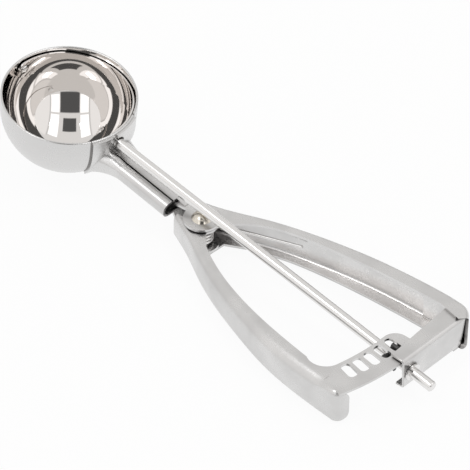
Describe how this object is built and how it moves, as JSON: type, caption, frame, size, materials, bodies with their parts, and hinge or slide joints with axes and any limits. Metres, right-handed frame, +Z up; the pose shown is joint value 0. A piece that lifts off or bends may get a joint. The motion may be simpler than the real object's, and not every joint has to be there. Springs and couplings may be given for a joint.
{
  "type": "lever ice cream scoop",
  "caption": "Squeeze-handle ice cream scoop: round bowl with a turning scraper band, driven by a rod, pinion and slotted rack strip when the sprung handle is pressed.",
  "frame": {"origin": "centre of the bounding box's foot, on the table the scoop lies on", "axes": "+X from the bowl to the tail along the scoop, +Y to the fixed handle, +Z up from the table"},
  "size_m": [0.2053, 0.0626, 0.0321],
  "materials": {
    "mirror_steel": "mirror polished stainless steel",
    "satin_steel": "satin tumbled stainless steel",
    "polished_steel": "polished stainless steel",
    "dark_steel": "as-cut steel",
    "nickel_rivet": "warm nickel plated",
    "spring_steel": "drawn wire"
  },
  "bodies": {
    "scoop": {"bowl": "mirror_steel", "fixed_handle": "satin_steel", "rear_bracket": "satin_steel", "scraper_rivet": "polished_steel", "hinge_rivet": "nickel_rivet", "hinge_bush": "polished_steel", "upper_hinge_washer": "polished_steel", "lower_hinge_washer": "polished_steel", "return_spring": "spring_steel"},
    "squeeze_handle": {"moving_handle": "satin_steel"},
    "rotor": {"drive_rod": "polished_steel", "pinion": "dark_steel", "scraper_band": "mirror_steel", "rod_washer": "dark_steel", "retaining_ring": "dark_steel"}
  },
  "joints": [
    {"name": "handle_hinge", "type": "hinge", "parent": "scoop", "child": "squeeze_handle", "pos_m": [-0.009, 0, 0.0067], "axis": [0, 0, 1], "range_deg": [0, 8.5], "stiffness_Nm_per_rad": 1.3, "springref_deg": -8.59, "deforming": ["return_spring"]},
    {"name": "scraper_turn", "type": "hinge", "parent": "scoop", "child": "rotor", "pos_m": [-0.0769, 0, 0.025], "axis": [-0.9954, 0, 0.0958], "range_deg": [0, 167]}
  ],
  "couplings": [
    {"joint": "scraper_turn", "follows": "handle_hinge", "ratio": 19.581}
  ]
}
